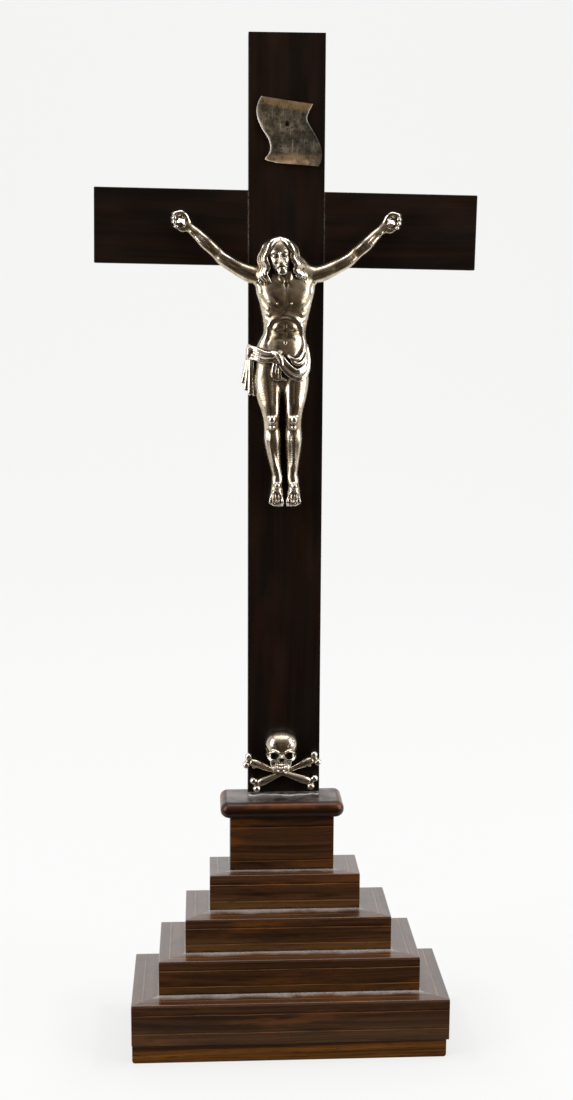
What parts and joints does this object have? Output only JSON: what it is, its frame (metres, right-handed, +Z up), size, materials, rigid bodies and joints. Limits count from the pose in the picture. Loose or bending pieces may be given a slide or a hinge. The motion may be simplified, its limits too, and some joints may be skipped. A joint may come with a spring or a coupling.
{
  "type": "altar cross",
  "caption": "Standing altar cross: plain dark wood cross with a cast metal figure, scroll plate, skull and crossed bones, on a veneered stepped foot with a flat back.",
  "frame": {"origin": "middle of the bounding box at the resting plane, under the foot", "axes": "+Z up, +X to the right facing the figure, +Y towards the flat back, so the figure faces -Y"},
  "size_m": [0.1944, 0.0618, 0.52],
  "materials": {
    "cross_wood": "near-black hardwood, thin semi-gloss polish",
    "foot_veneer": "dark striped sawn veneer, semi-gloss polish",
    "cap_wood": "red-brown hardwood, glossy polish",
    "base_board_wood": "golden-brown straight-grained board, worn satin",
    "core_wood": "plain softwood, bare, aged",
    "silver": "aged silver casting, polished high spots, dark recesses",
    "silver_bright": "bright silver",
    "plaque_silver": "tarnished thin silver sheet",
    "screw_metal": "dulled steel",
    "tack_metal": "darkened brass"
  },
  "bodies": {
    "root": {"step_1_core": "core_wood", "step_1_riser_front": "foot_veneer", "step_1_riser_left": "foot_veneer", "step_1_riser_right": "foot_veneer", "step_1_tread_front": "foot_veneer", "step_1_tread_left": "foot_veneer", "step_1_tread_right": "foot_veneer", "step_2_core": "core_wood", "step_2_riser_front": "foot_veneer", "step_2_riser_left": "foot_veneer", "step_2_riser_right": "foot_veneer", "step_2_tread_front": "foot_veneer", "step_2_tread_left": "foot_veneer", "step_2_tread_right": "foot_veneer", "step_3_core": "core_wood", "step_3_riser_front": "foot_veneer", "step_3_riser_left": "foot_veneer", "step_3_riser_right": "foot_veneer", "step_3_tread_front": "foot_veneer", "step_3_tread_left": "foot_veneer", "step_3_tread_right": "foot_veneer", "step_4_core": "core_wood", "step_4_riser_front": "foot_veneer", "step_4_riser_left": "foot_veneer", "step_4_riser_right": "foot_veneer", "step_4_tread_front": "foot_veneer", "step_4_tread_left": "foot_veneer", "step_4_tread_right": "foot_veneer", "base_board": "base_board_wood", "base_screws": "screw_metal", "pedestal_core": "core_wood", "pedestal_veneer_front": "foot_veneer", "pedestal_veneer_left": "foot_veneer", "pedestal_veneer_right": "foot_veneer", "cap_slab": "cap_wood", "upright_post": "cross_wood", "crossbeam": "cross_wood", "corpus_body": "silver", "corpus_left_arm": "silver", "corpus_right_arm": "silver", "hand_nails": "silver_bright", "foot_nails": "silver_bright", "scroll_plaque": "plaque_silver", "plaque_tack": "tack_metal", "skull": "silver", "crossbones": "silver", "skull_pins": "tack_metal"}
  },
  "joints": []
}
